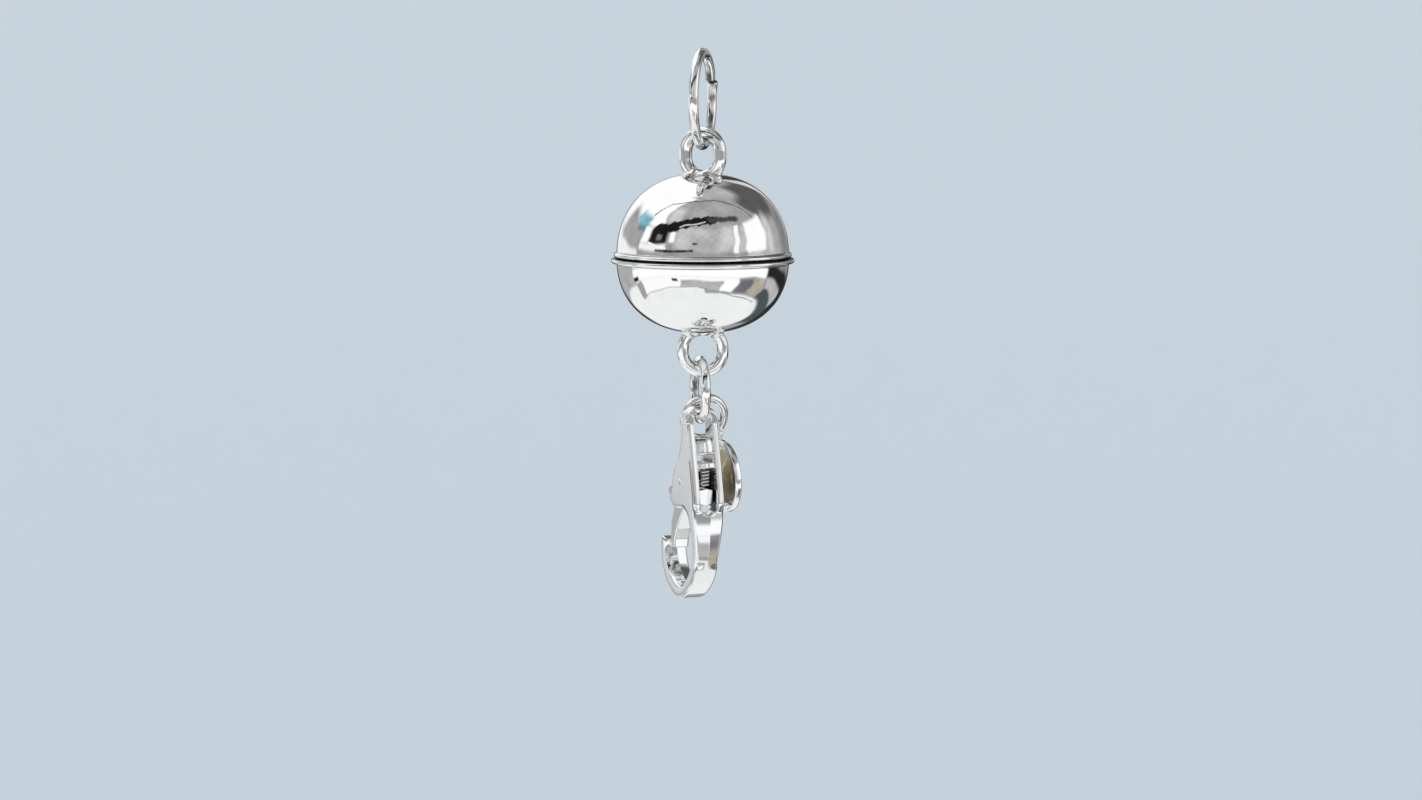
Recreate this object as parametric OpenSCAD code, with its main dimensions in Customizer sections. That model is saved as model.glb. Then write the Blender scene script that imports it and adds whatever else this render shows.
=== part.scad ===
// Magnetic ball clasp for a necklace, hanging from its top jump ring.
// Two half balls hold magnets; below them hang a link, a spring claw and a small tag.
// Millimetres, +Z up, origin at the inside top of the top ring, seen from -Y.

/* [Ball] */
// Radius of the shells where they meet the rims
shell_r = 4.78; // [4:0.02:6]
// Height of the upper shell above the seam
upper_h = 4.65; // [3.6:0.05:6]
// Depth of the lower shell below the seam
lower_h = 4.19; // [3.4:0.05:6]
// Roundness of the shells: 2 is an ellipse, more is fuller
dome_power = 2.25; // [2:0.05:3]
// Sheet thickness of the shells
shell_wall = 0.42; // [0.3:0.02:0.6]
// How far the upper rim stands out of its shell
upper_lip = 0.15; // [0.1:0.01:0.3]
// How far the lower rim stands out of its shell
lower_lip = 0.30; // [0.2:0.01:0.45]
// Thickness of each rim
rim_t = 0.28; // [0.2:0.02:0.4]
// Gap between the two closed rims
seam_gap = 0.05; // [0.03:0.01:0.1]

/* [Magnets] */
// Radius of the hole in each rim
bore_r = 3.25; // [2.6:0.05:3.6]
// Thickness of each magnet
magnet_t = 2.0; // [1.4:0.1:2.4]
// How far the lower magnet stands out of its rim
magnet_proud = 0.22; // [0.1:0.02:0.26]
// How much wider the upper magnet is than the hole it lies behind
magnet_ledge = 0.35; // [0.2:0.05:0.4]
// Gap between each magnet and its shell
magnet_gap = 0.03; // [0.02:0.01:0.06]

/* [Soldered loops] */
// Outer width of the upper loop
upper_loop_w = 2.84; // [2.4:0.02:3.4]
// Outer height of the upper loop
upper_loop_h = 3.15; // [2.9:0.05:3.8]
// Wire of the upper loop
upper_loop_wire = 0.72; // [0.5:0.02:0.8]
// Turn of the upper loop about Z
upper_loop_turn = -27; // [-60:1:0]
// Outer width of the lower loop
lower_loop_w = 2.85; // [2.4:0.02:3.4]
// Outer height of the lower loop
lower_loop_h = 3.01; // [2.9:0.05:3.8]
// Wire of the lower loop
lower_loop_wire = 0.64; // [0.5:0.02:0.76]
// How deep the loops are let into the shells
loop_sink = 0.54; // [0.4:0.02:0.7]
// Width of the solder round each loop's foot
solder_w = 2.3; // [1.8:0.1:2.8]
// How high the solder stands on the shell
solder_h = 0.12; // [0.06:0.02:0.2]

/* [Rings] */
// Outer diameter of the top jump ring
top_ring_d = 5.64; // [4.8:0.05:7]
// Wire of the top jump ring
top_ring_wire = 0.55; // [0.4:0.01:0.65]
// Turn of the top jump ring about Z
top_ring_turn = 78.5; // [60:0.5:100]
// Place of the joint on the top jump ring, from level
ring_joint_at = 21; // [0:1:60]
// Width of that joint
ring_joint = 0.06; // [0.04:0.01:0.12]
// Outer diameter of the link between ball and claw
link_d = 3.8; // [3.5:0.05:4.6]
// Wire of the link
link_wire = 0.52; // [0.4:0.02:0.6]
// Turn of the link about Z
link_turn = 101.8; // [92:0.2:106]
// Gap left where one wire rests on another
wire_gap = 0.04; // [0.03:0.01:0.08]

/* [Claw] */
// Overall height of the claw
claw_h = 11.0; // [10:0.05:13]
// Overall width of the claw from its spine to its hook
claw_w = 5.5; // [5:0.05:6.5]
// Thickness of the claw at its cheeks
claw_t = 2.0; // [1.8:0.02:2.4]
// Thickness of the claw at the bottom of its hook
hook_t = 1.5; // [1.1:0.02:1.7]
// Slot between the two cheeks
slot_w = 1.05; // [0.95:0.01:1.2]
// Thickness of the arch over the slot
arch_t = 0.40; // [0.3:0.02:0.6]
// Turn of the claw about Z, 0 with its spine straight at the viewer
claw_turn = 23; // [17:1:27]

/* [Lever and spring] */
// Gap between the lever and each cheek
lever_gap = 0.075; // [0.04:0.005:0.12]
// Radius of the rivet that the lever turns on
rivet_r = 0.30; // [0.2:0.01:0.4]
// Running gap round the rivet
rivet_gap = 0.03; // [0.01:0.01:0.08]
// Outer diameter of the coil spring
spring_d = 0.72; // [0.5:0.02:0.8]
// Wire of the coil spring
spring_wire = 0.13; // [0.08:0.01:0.16]
// Turns of the coil spring
spring_turns = 5; // [3:1:7]
// Gap at each end of the spring
spring_gap = 0.03; // [0.02:0.01:0.06]

/* [Tag] */
// Outer diameter of the tag's ring
tag_ring_d = 2.87; // [2.6:0.01:3.2]
// Wire of the tag's ring
tag_ring_wire = 0.44; // [0.3:0.02:0.5]
// Gap between the tag's ring and the link it hangs on
tag_ring_gap = 0.06; // [0.04:0.01:0.1]
// Width of the oval tag
tag_w = 3.2; // [2.6:0.1:3.6]
// Height of the oval tag
tag_h = 4.1; // [3.2:0.1:4.6]
// Thickness of the tag at its rim
tag_t = 0.44; // [0.3:0.02:0.5]
// Width of the tag's raised rim
tag_rim = 0.42; // [0.3:0.02:0.6]
// Thickness of the tag's floor
tag_floor = 0.18; // [0.12:0.02:0.26]
// Radius of the hole in the tag's lug
lug_hole_r = 0.56; // [0.52:0.01:0.64]
// Width of metal round that hole
lug_wall = 0.20; // [0.15:0.01:0.3]
// Thickness of the lug
lug_t = 0.20; // [0.16:0.02:0.24]
// Turn of the tag about Z, 0 with its hollow face at the viewer
tag_turn = -58; // [-62:1:-48]

/* [Hidden] */
$fn = 72;

silver = "gainsboro";
dome_steps = 20;
bead_steps = 8;
curve_steps = 5;
solder_taper = 0.62;
arch_steps = 24;

// Heights, worked down from the inside top of the top ring
function mid_r(outer_d, wire) = (outer_d - wire) / 2;
function hung(low, wire_a, wire_b) = low + (wire_a + wire_b) / 2 + wire_gap;

top_ring_r = mid_r(top_ring_d, top_ring_wire);
top_ring_z = top_ring_wire / 2 - top_ring_r;
upper_loop_top = hung(top_ring_z - top_ring_r, top_ring_wire, upper_loop_wire);
upper_apex = upper_loop_top + upper_loop_wire / 2 - upper_loop_h + loop_sink;
seam_z = upper_apex - upper_h;
lower_apex = seam_z - lower_h;
lower_loop_top = lower_apex + loop_sink - lower_loop_wire / 2;
lower_loop_low = lower_loop_top - lower_loop_h + lower_loop_wire;
link_r = mid_r(link_d, link_wire);
link_z = hung(lower_loop_low, lower_loop_wire, link_wire) - link_r;
// The link's curve rises below the ends of the claw's arch
arch_reach = 0.09 * claw_w;
link_bore = link_r - link_wire / 2;
link_rise = link_bore - sqrt(link_bore * link_bore - arch_reach * arch_reach);
eye_z = hung(link_z - link_r, link_wire, 0) + link_rise + wire_gap / 2;
claw_top = eye_z + arch_t;
claw_low = claw_top - claw_h;

// The link and the claw's eye lie a little left of the ball's axis
link_x = -0.03 * shell_r;
eye_x = link_x - wire_gap;

// Claw: shares of claw_w across from the spine, and of claw_h down from the top
claw_outline = [
    [0.276, 0.000], [0.200, 0.025], [0.184, 0.105], [0.135, 0.206], [0.065, 0.351],
    [0.007, 0.505], [0.000, 0.658], [0.070, 0.810], [0.245, 0.932], [0.545, 1.000],
    [0.845, 0.940], [1.000, 0.815], [0.965, 0.690], [0.800, 0.565], [0.651, 0.469],
    [0.571, 0.351], [0.425, 0.251], [0.365, 0.151], [0.353, 0.025]];
hook_hole = [
    [0.189, 0.600], [0.218, 0.751], [0.318, 0.856], [0.527, 0.926], [0.745, 0.882],
    [0.852, 0.795], [0.850, 0.700], [0.665, 0.578], [0.400, 0.533], [0.245, 0.545]];
// Opening between the cheeks' lower edge and the tip of the hook
mouth = [
    [0.291, 0.538], [0.573, 0.537], [0.655, 0.501], [1.127, 0.482], [1.127, 0.660],
    [0.955, 0.708], [0.845, 0.726], [0.727, 0.728], [0.291, 0.615]];
// Slot past its pointed end, for the lever's arm
arm_slot = [[0.189, 0.426], [1.2, 0.426], [1.2, 0.640], [0.219, 0.605]];
// Where a cutting shape starts and ends, past the spine and past the hook
past_claw = [-0.5, 1.2];
eye_share = 0.276;
pivot = [0.353, 0.394];
// Inside the slot, down from the top: fixed block, spring seat, lever tail, slot end
block_span = [0.160, 0.251];
seat_span = [0.287, 0.317];
tail_span = [0.418, 0.508];
slot_end = 0.523;
notch_end = 0.552;
seat_share = 0.28;
spring_share = 0.162;
// Where the claw starts to grow thinner and where it has its least thickness
taper_span = [0.52, 0.80];
// Lever arm from the pivot to its tip: across, down, half width as a share of claw_w
lever_arm = [
    [0.353, 0.394, 0.110], [0.500, 0.462, 0.112], [0.645, 0.545, 0.091],
    [0.762, 0.640, 0.070], [0.790, 0.710, 0.046], [0.789, 0.755, 0.032]];
lever_tail = [
    [0.090, 0.418], [0.300, 0.418], [0.400, 0.394], [0.450, 0.488], [0.360, 0.508],
    [0.094, 0.508]];
thumb_tab = [
    [0.420, 0.390], [0.560, 0.405], [0.700, 0.421], [0.840, 0.433], [0.898, 0.458],
    [0.875, 0.488], [0.780, 0.488], [0.700, 0.493], [0.640, 0.517], [0.500, 0.507]];

rivet_proud = 0.03;
lever_t = slot_w - 2 * lever_gap;

// Tag ring: rests inside the link behind the claw's arch, and leans off the claw
tag_ring_r = mid_r(tag_ring_d, tag_ring_wire);
tag_ring_climb = 52;
tag_ring_roll = 27;
tag_ring_lean = 17;
lug_at = -54;
tag_lean = 21;
tag_lug_reach = 0.56;
tag_hang = [0.15, 0.1, 0];

function flat_dir(a) = [cos(a), sin(a), 0];
across = flat_dir(claw_turn);
away = flat_dir(claw_turn + 90);
tilted_up = cos(tag_ring_lean) * [0, 0, 1] - sin(tag_ring_lean) * away;
link_seat = link_r - (link_wire + tag_ring_wire) / 2 - tag_ring_gap;
tag_hold = [link_x, 0, link_z]
    + link_seat * (sin(tag_ring_climb) * flat_dir(link_turn) - [0, 0, cos(tag_ring_climb)]);
function on_tag_ring(a) = tag_ring_r * (cos(a) * across + sin(a) * tilted_up);
tag_ring_mid = tag_hold - on_tag_ring(90 + tag_ring_roll);
lug_point = tag_ring_mid + on_tag_ring(lug_at);
lug_r = lug_hole_r + lug_wall;
lug_dist = tag_h / 2 + tag_lug_reach;

// Superellipse from the rim to the apex, as [radius, height]
function dome(r, h) = [for (i = [0:dome_steps]) let (t = 90 * i / dome_steps)
    [r * pow(cos(t), 2 / dome_power), h * pow(sin(t), 2 / dome_power)]];
function above(points, low) = [for (p = points) if (p[1] > low) p];
function reversed(points) = [for (i = [len(points) - 1:-1:0]) points[i]];
// Half-round edge of a rim, from its mating face outwards and up
function bead(r) = [for (i = [0:bead_steps]) let (t = 180 * i / bead_steps - 90)
    [r - rim_t / 2 + rim_t / 2 * cos(t), rim_t / 2 + rim_t / 2 * sin(t)]];
// Smooth closed curve through a list of points (Catmull-Rom)
function blend(a, b, c, d, t) =
    0.5 * (2 * b + (c - a) * t + (2 * a - 5 * b + 4 * c - d) * t * t
        + (3 * b - a - 3 * c + d) * t * t * t);
function closed_curve(p) = let (n = len(p))
    [for (i = [0:n - 1], s = [0:curve_steps - 1])
        blend(p[(i + n - 1) % n], p[i], p[(i + 1) % n], p[(i + 2) % n], s / curve_steps)];
function on_claw(p) = [p[0] * claw_w, claw_top - p[1] * claw_h];
function claw_points(rows) = [for (p = rows) on_claw(p)];
function band(span, end) = claw_points([[past_claw[0], span[0]], [end, span[0]],
    [end, span[1]], [past_claw[0], span[1]]]);
// Both edges of a strip whose rows are [across, height, half width]
function strip(rows) = let (n = len(rows), side = [for (i = [0:n - 1])
        let (d = on_claw(rows[min(i + 1, n - 1)]) - on_claw(rows[max(i - 1, 0)]))
        [d[1], -d[0]] / norm(d) * rows[i][2] * claw_w])
    concat([for (i = [0:n - 1]) on_claw(rows[i]) - side[i]],
        [for (i = [n - 1:-1:0]) on_claw(rows[i]) + side[i]]);
// Half circle over a slot or a cheek, from right to left, with its crown at a height
function arch(r, crown) = [for (i = [0:arch_steps]) let (t = 180 * i / arch_steps)
    [r * cos(t), crown - r + r * sin(t)]];
function oval(w, h) = [for (i = [0:35]) [w / 2 * cos(10 * i), h / 2 * sin(10 * i)]];

module wire_ring(r, wire, joint = 0) {
    rotate([90, 0, 0])
        rotate([0, 0, ring_joint_at + joint / 2])
            rotate_extrude(angle = 360 - joint)
                translate([r, 0]) circle(d = wire);
}

// Oval loop standing in the XZ plane, its top wire's middle at z = 0
module oval_loop(w, h, wire) {
    r = (w - wire) / 2;
    leg = h - w;
    for (end = [0, 1])
        translate([0, 0, -r - end * leg]) rotate([90, 0, 0])
            rotate([0, 0, 180 * end])
                rotate_extrude(angle = 180) translate([r, 0]) circle(d = wire);
    for (side = [-1, 1])
        translate([side * r, 0, -r - leg]) cylinder(d = wire, h = leg);
}

// Half shell with its rim, opening downwards, mating face at z = 0
module half_shell(h, lip) {
    rim_r = shell_r + lip;
    skin = above(dome(shell_r, h), rim_t);
    inside = above(dome(shell_r - shell_wall, h - shell_wall), rim_t);
    rotate_extrude()
        polygon(concat([[bore_r, 0]], bead(rim_r), [[shell_r, rim_t]], skin,
            reversed(inside), [[shell_r - shell_wall, rim_t], [bore_r, rim_t]]));
}

module solder(apex) {
    translate([0, 0, apex - solder_h])
        cylinder(d1 = solder_w, d2 = solder_w * solder_taper, h = 2 * solder_h);
}

module top_jump_ring() color(silver) {
    joint = ring_joint / top_ring_r * 180 / PI;
    translate([0, 0, top_ring_z]) rotate([0, 0, top_ring_turn])
        wire_ring(top_ring_r, top_ring_wire, joint);
}

module upper_half() color(silver) {
    translate([0, 0, seam_z + seam_gap / 2]) half_shell(upper_h - seam_gap / 2, upper_lip);
    translate([0, 0, upper_loop_top]) rotate([0, 0, upper_loop_turn])
        oval_loop(upper_loop_w, upper_loop_h, upper_loop_wire);
    solder(upper_apex);
}

module upper_magnet() color("dimgray") {
    translate([0, 0, seam_z + seam_gap / 2 + rim_t + magnet_gap])
        cylinder(r = bore_r + magnet_ledge, h = magnet_t);
}

module lower_half() color(silver) {
    translate([0, 0, seam_z - seam_gap / 2]) mirror([0, 0, 1])
        half_shell(lower_h - seam_gap / 2, lower_lip);
    translate([0, 0, lower_loop_top]) oval_loop(lower_loop_w, lower_loop_h, lower_loop_wire);
    translate([0, 0, lower_apex]) mirror([0, 0, 1]) solder(0);
}

module lower_magnet() color("dimgray") {
    translate([0, 0, seam_z - seam_gap / 2 + magnet_proud - magnet_t])
        cylinder(r = bore_r - magnet_gap, h = magnet_t);
}

module link_ring() color(silver) {
    translate([link_x, 0, link_z]) rotate([0, 0, link_turn])
        wire_ring(link_r, link_wire);
}

// The claw's own frame: X from the spine to the hook, Y across its thickness
module claw_frame() {
    translate([eye_x, 0, 0]) rotate([0, 0, 90 + claw_turn])
        translate([-eye_share * claw_w, 0, 0]) children();
}

// A flat shape of the claw's face view, given its thickness
module plate(thick) {
    rotate([90, 0, 0]) linear_extrude(height = thick, center = true) children();
}

// A flat shape of the view on the claw's spine, run through its whole width
module through() {
    translate([past_claw[0] * claw_w, 0, 0]) rotate([90, 0, 90])
        linear_extrude(height = (past_claw[1] - past_claw[0]) * claw_w) children();
}

module claw_face() {
    difference() {
        polygon(closed_curve(claw_points(claw_outline)));
        polygon(closed_curve(claw_points(hook_hole)));
        polygon(claw_points(mouth));
    }
}

module claw_back() {
    wide = claw_t / 2;
    narrow = hook_t / 2;
    taper = [for (share = taper_span) claw_top - share * claw_h];
    low = claw_low - hook_t;
    polygon(concat(arch(wide, claw_top), [[-wide, taper[0]], [-narrow, taper[1]],
        [-narrow, low], [narrow, low], [narrow, taper[1]], [wide, taper[0]]]));
}

module slot_space() {
    half = slot_w / 2;
    low = claw_top - slot_end * claw_h;
    through() polygon(concat(arch(half, eye_z),
        [[-half, low], [0, claw_top - notch_end * claw_h], [half, low]]));
    plate(slot_w) polygon(claw_points(arm_slot));
}

module slot_fillings() {
    plate(slot_w) polygon(band(block_span, past_claw[1]));
    plate(slot_w) polygon(band(seat_span, seat_share));
}

module at_pivot() {
    p = on_claw(pivot);
    translate([p[0], 0, p[1]]) rotate([90, 0, 0]) children();
}

module claw_body() color(silver) {
    claw_frame() difference() {
        intersection() {
            plate(claw_t) claw_face();
            through() claw_back();
        }
        difference() {
            slot_space();
            slot_fillings();
        }
        at_pivot() cylinder(r = rivet_r + rivet_gap, h = 2 * claw_t, center = true);
    }
}

module claw_rivet() color(silver) {
    claw_frame() at_pivot() cylinder(r = rivet_r, h = claw_t + 2 * rivet_proud, center = true);
}

module claw_lever() color(silver) {
    claw_frame() difference() {
        union() {
            plate(lever_t) polygon(strip(lever_arm));
            plate(lever_t) polygon(claw_points(lever_tail));
            plate(lever_t) polygon(closed_curve(claw_points(thumb_tab)));
            at_pivot() cylinder(r = lever_arm[0][2] * claw_w, h = lever_t, center = true);
        }
        at_pivot() cylinder(r = rivet_r + rivet_gap, h = 2 * claw_t, center = true);
    }
}

// Coil between the fixed seat and the lever's tail, swept as six-sided wire
module claw_spring() color(silver) {
    sides = 6;
    per_turn = 12;
    r = (spring_d - spring_wire) / 2;
    top = claw_top - seat_span[1] * claw_h - spring_gap - spring_wire / 2;
    low = claw_top - tail_span[0] * claw_h + spring_gap + spring_wire / 2;
    steps = spring_turns * per_turn;
    points = [for (i = [0:steps], k = [0:sides - 1])
        let (a = 360 * i / per_turn, b = 360 * k / sides, out = r + spring_wire / 2 * cos(b))
        [out * cos(a), out * sin(a), low + (top - low) * i / steps + spring_wire / 2 * sin(b)]];
    walls = [for (i = [0:steps - 1], k = [0:sides - 1]) let (n = (k + 1) % sides)
        [i * sides + k, (i + 1) * sides + k, (i + 1) * sides + n, i * sides + n]];
    first = [for (k = [0:sides - 1]) k];
    last = [for (k = [sides - 1:-1:0]) steps * sides + k];
    claw_frame() translate([spring_share * claw_w, 0, 0])
        polyhedron(points, concat([first], walls, [last]));
}

module tag_ring() color(silver) {
    translate(tag_ring_mid) rotate([0, 0, claw_turn]) rotate([tag_ring_lean, 0, 0])
        wire_ring(tag_ring_r, tag_ring_wire);
}

module tag() color(silver) {
    translate(lug_point) rotate([0, 0, tag_turn]) rotate([90, 0, 0]) rotate([0, 0, tag_lean])
        translate(tag_hang) difference() {
            union() {
                translate([0, -lug_dist, -tag_t / 2])
                    linear_extrude(height = tag_t) polygon(oval(tag_w, tag_h));
                translate([0, 0, -lug_t / 2]) cylinder(r = lug_r, h = lug_t);
            }
            translate([0, -lug_dist, tag_floor - tag_t / 2])
                linear_extrude(height = tag_t)
                    polygon(oval(tag_w - 2 * tag_rim, tag_h - 2 * tag_rim));
            cylinder(r = lug_hole_r, h = 4 * lug_t, center = true);
        }
}

top_jump_ring();
upper_half();
upper_magnet();
lower_half();
lower_magnet();
link_ring();
claw_body();
claw_rivet();
claw_spring();
claw_lever();
tag_ring();
tag();
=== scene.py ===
import bpy
import math
import numpy as np
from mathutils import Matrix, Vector


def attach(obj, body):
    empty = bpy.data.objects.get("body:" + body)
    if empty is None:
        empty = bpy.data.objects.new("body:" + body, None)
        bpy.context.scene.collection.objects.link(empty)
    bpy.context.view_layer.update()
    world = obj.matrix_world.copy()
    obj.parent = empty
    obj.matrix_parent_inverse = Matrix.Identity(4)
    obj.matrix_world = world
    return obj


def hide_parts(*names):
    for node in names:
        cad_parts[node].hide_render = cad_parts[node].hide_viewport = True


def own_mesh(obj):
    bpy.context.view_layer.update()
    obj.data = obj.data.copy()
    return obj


MM = 0.001
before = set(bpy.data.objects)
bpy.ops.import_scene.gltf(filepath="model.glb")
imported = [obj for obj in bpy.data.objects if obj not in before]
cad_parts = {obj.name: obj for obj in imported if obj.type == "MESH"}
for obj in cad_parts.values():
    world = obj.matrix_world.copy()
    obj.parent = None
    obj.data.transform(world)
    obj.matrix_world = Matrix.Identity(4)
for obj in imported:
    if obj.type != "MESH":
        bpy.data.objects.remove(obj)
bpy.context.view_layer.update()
print("frame loaded")


def meshFrom(name, points, faces, normals=None, layers=None):
    mesh = bpy.data.meshes.new(name)
    mesh.from_pydata((points * MM).tolist(), [], faces if isinstance(faces, list) else faces.tolist())
    mesh.shade_smooth()
    if normals is not None:
        mesh.normals_split_custom_set_from_vertices(normals.tolist())
    for key, values in (layers or {}).items():
        layer = mesh.attributes.new(key, "FLOAT", "POINT")
        layer.data.foreach_set("value", np.asarray(values, np.float32))
    obj = bpy.data.objects.new(name, mesh)
    bpy.context.scene.collection.objects.link(obj)
    return obj


def gridFaces(rows, cols, closeRows, closeCols):
    index = np.arange(rows * cols).reshape(rows, cols)
    if closeRows:
        index = np.vstack([index, index[:1]])
    if closeCols:
        index = np.hstack([index, index[:, :1]])
    return np.stack([index[:-1, :-1], index[1:, :-1], index[1:, 1:], index[:-1, 1:]], -1).reshape(-1, 4)


def unit(v):
    v = np.asarray(v, float)
    return v / np.maximum(np.linalg.norm(v, axis=-1, keepdims=True), 1e-9)


def flatDir(angle):
    return np.array([math.cos(math.radians(angle)), math.sin(math.radians(angle)), 0.0])


UP = np.array([0.0, 0.0, 1.0])


def sweep(line, radius, sides, closed):  # tube round a line; radius may vary along it
    step = np.roll(line, -1, 0) - np.roll(line, 1, 0)
    if not closed:
        step[0], step[-1] = line[1] - line[0], line[-1] - line[-2]
    tangent = unit(step)
    middle = line.mean(0)
    outward = line - middle
    outward -= (outward * tangent).sum(1, keepdims=True) * tangent
    outward = unit(outward)
    side = np.cross(tangent, outward)
    turn = np.linspace(0, 2 * np.pi, sides, endpoint=False)
    radius = np.broadcast_to(np.asarray(radius, float).reshape(-1, 1, 1), (len(line), 1, 1))
    around = np.cos(turn)[None, :, None] * outward[:, None] + np.sin(turn)[None, :, None] * side[:, None]
    return line[:, None] + radius * around


def tube(line, radius, sides, closed=True):
    skin = sweep(line, radius, sides, closed)
    faces = gridFaces(len(line), sides, closed, True)
    points = skin.reshape(-1, 3)
    if not closed:  # round off both ends
        first = np.stack([np.full(sides, len(points)), np.arange(sides), np.roll(np.arange(sides), -1)], 1)
        last = np.arange(sides) + len(points) - sides
        final = np.stack([np.full(sides, len(points) + 1), np.roll(last, -1), last], 1)
        points = np.vstack([points, skin[0].mean(0), skin[-1].mean(0)])
        return points, [faces, first, final]
    return points, [faces]


def innerShade(rows, sides):  # painted shade: darker patches along the inside of a wire ring
    t = np.linspace(0, 2 * np.pi, rows)[:, None]
    turn = np.linspace(0, 2 * np.pi, sides, endpoint=False)[None]
    inside = smoothStep(0.72, 0.95, -np.cos(turn + 0.35 * np.sin(3 * t)))
    patchy = np.clip(0.6 + 0.4 * np.sin(5 * t + 1) + 0.3 * np.sin(13 * t), 0, 1)
    return (0.85 * inside * patchy).ravel()


def joined(parts):  # one list of points and faces from several parts
    points, faces, start = [], [], 0
    for partPoints, partFaces in parts:
        points.append(partPoints)
        for block in partFaces:
            faces += (block + start).tolist()
        start += len(partPoints)
    return np.vstack(points), faces


def meshOf(name, parts, layers=None):
    return meshFrom(name, *joined(parts), None, layers)


def lathe(profile, sides):  # rows of [radius, height] turned about Z
    turn = np.linspace(0, 2 * np.pi, sides, endpoint=False)
    rows = np.asarray(profile, float)
    skin = np.stack([rows[:, None, 0] * np.cos(turn), rows[:, None, 0] * np.sin(turn),
                     np.broadcast_to(rows[:, None, 1], (len(rows), sides))], -1)
    return skin.reshape(-1, 3), [gridFaces(len(rows), sides, False, True)]


def closedCurve(rows, steps):  # Catmull-Rom, as in the part's source
    p = np.asarray(rows, float)
    t = (np.arange(steps) / steps)[None, :, None]
    a, b, c, d = (np.roll(p, k, 0)[:, None] for k in (1, 0, -1, -2))
    return (0.5 * (2 * b + (c - a) * t + (2 * a - 5 * b + 4 * c - d) * t ** 2
                   + (3 * b - a - 3 * c + d) * t ** 3)).reshape(-1, 2)


def polygonDistance(u, v, polygon):  # negative inside
    shape = u.shape
    q = np.stack([u.ravel(), v.ravel()], 1)
    out = np.empty(len(q))
    a = np.asarray(polygon, float)
    b = np.roll(a, -1, 0)
    ab = b - a
    for start in range(0, len(q), 20000):
        part = q[start:start + 20000, None]
        ap = part - a
        t = np.clip((ap * ab).sum(-1) / (ab * ab).sum(-1), 0, 1)
        gap = np.linalg.norm(ap - t[..., None] * ab, axis=-1).min(1)
        crosses = (a[:, 1] > part[..., 1]) != (b[:, 1] > part[..., 1])
        climb = np.where(np.abs(ab[:, 1]) < 1e-12, 1e-12, ab[:, 1])
        at = a[:, 0] + (part[..., 1] - a[:, 1]) / climb * ab[:, 0]
        inside = (crosses & (part[..., 0] < at)).sum(1) % 2 == 1
        out[start:start + 20000] = np.where(inside, -gap, gap)
    return out.reshape(shape)


class FlatField:  # read between the points of a fine grid
    def __init__(self, polygon, low, high, step=0.025):
        self.low, self.step = np.asarray(low, float), step
        count = np.ceil((np.asarray(high) - self.low) / step).astype(int) + 2
        u, v = (self.low[k] + step * np.arange(count[k]) for k in (0, 1))
        self.values = polygonDistance(*np.meshgrid(u, v, indexing="ij"), polygon)

    def __call__(self, u, v):
        s = (u - self.low[0]) / self.step
        t = (v - self.low[1]) / self.step
        i = np.clip(s.astype(int), 0, self.values.shape[0] - 2)
        j = np.clip(t.astype(int), 0, self.values.shape[1] - 2)
        s, t, g = s - i, t - j, self.values
        return ((g[i, j] * (1 - s) + g[i + 1, j] * s) * (1 - t)
                + (g[i, j + 1] * (1 - s) + g[i + 1, j + 1] * s) * t)


def both(a, b, k):  # smooth intersection with rounding k
    h = np.maximum(k - np.abs(a - b), 0) / k
    return np.maximum(a, b) + h * h * k / 4


def either(a, b, k):
    return -both(-a, -b, k)


def smoothStep(a, b, x):
    t = np.clip((x - a) / (b - a), 0, 1)
    return t * t * (3 - 2 * t)


def surfaceNet(distance, low, high, step):  # quads on the zero level, and their normals
    low, high = np.asarray(low, float), np.asarray(high, float)
    count = np.ceil((high - low) / step).astype(int) + 1
    axes = [low[k] + step * np.arange(count[k]) for k in range(3)]
    grid = distance(*np.meshgrid(*axes, indexing="ij"))
    inside = grid < 0
    corner = np.array([(i, j, k) for i in (0, 1) for j in (0, 1) for k in (0, 1)])
    size = np.array(grid.shape) - 1
    filled = sum(inside[tuple(slice(c[k], c[k] + size[k]) for k in range(3))].astype(np.int8) for c in corner)
    active = (filled > 0) & (filled < 8)
    cells = np.argwhere(active)
    number = np.full(active.shape, -1)
    number[active] = np.arange(len(cells))
    total, crossings = np.zeros((len(cells), 3)), np.zeros(len(cells))
    for a in corner:
        for axis in range(3):
            if a[axis] == 0:
                b = a.copy()
                b[axis] = 1
                va, vb = grid[tuple((cells + a).T)], grid[tuple((cells + b).T)]
                cut = (va < 0) != (vb < 0)
                t = np.where(cut, va / np.where(cut, va - vb, 1), 0)
                total += np.where(cut[:, None], a + t[:, None] * (b - a), 0)
                crossings += cut
    points = low + (cells + total / crossings[:, None]) * step
    quads = []
    for axis in range(3):
        p, q = (axis + 1) % 3, (axis + 2) % 3
        first = np.take(inside, np.arange(grid.shape[axis] - 1), axis)
        second = np.take(inside, np.arange(1, grid.shape[axis]), axis)
        where = np.argwhere(first != second)
        within = (where[:, [p, q]] > 0) & (where[:, [p, q]] < size[[p, q]])
        where = where[within.all(1)]
        out = first[tuple(where.T)]
        around = []
        for dp, dq in ((1, 1), (0, 1), (0, 0), (1, 0)):
            cell = where.copy()
            cell[:, p] -= dp
            cell[:, q] -= dq
            around.append(number[tuple(cell.T)])
        around = np.stack(around, 1)
        quads.append(np.where(out[:, None], around, around[:, ::-1]))
    quads = np.vstack(quads)
    e = step * 0.4

    def slope(at):
        return np.stack([distance(*(at + e * d).T) - distance(*(at - e * d).T) for d in np.eye(3)], 1) / (2 * e)

    for _ in range(2):  # draw the points onto the surface
        g = slope(points)
        reach = distance(*points.T)[:, None] * g / np.maximum((g * g).sum(1, keepdims=True), 0.05)
        points = points - np.clip(reach, -0.4 * step, 0.4 * step)
    return points, quads, unit(slope(points))


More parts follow.
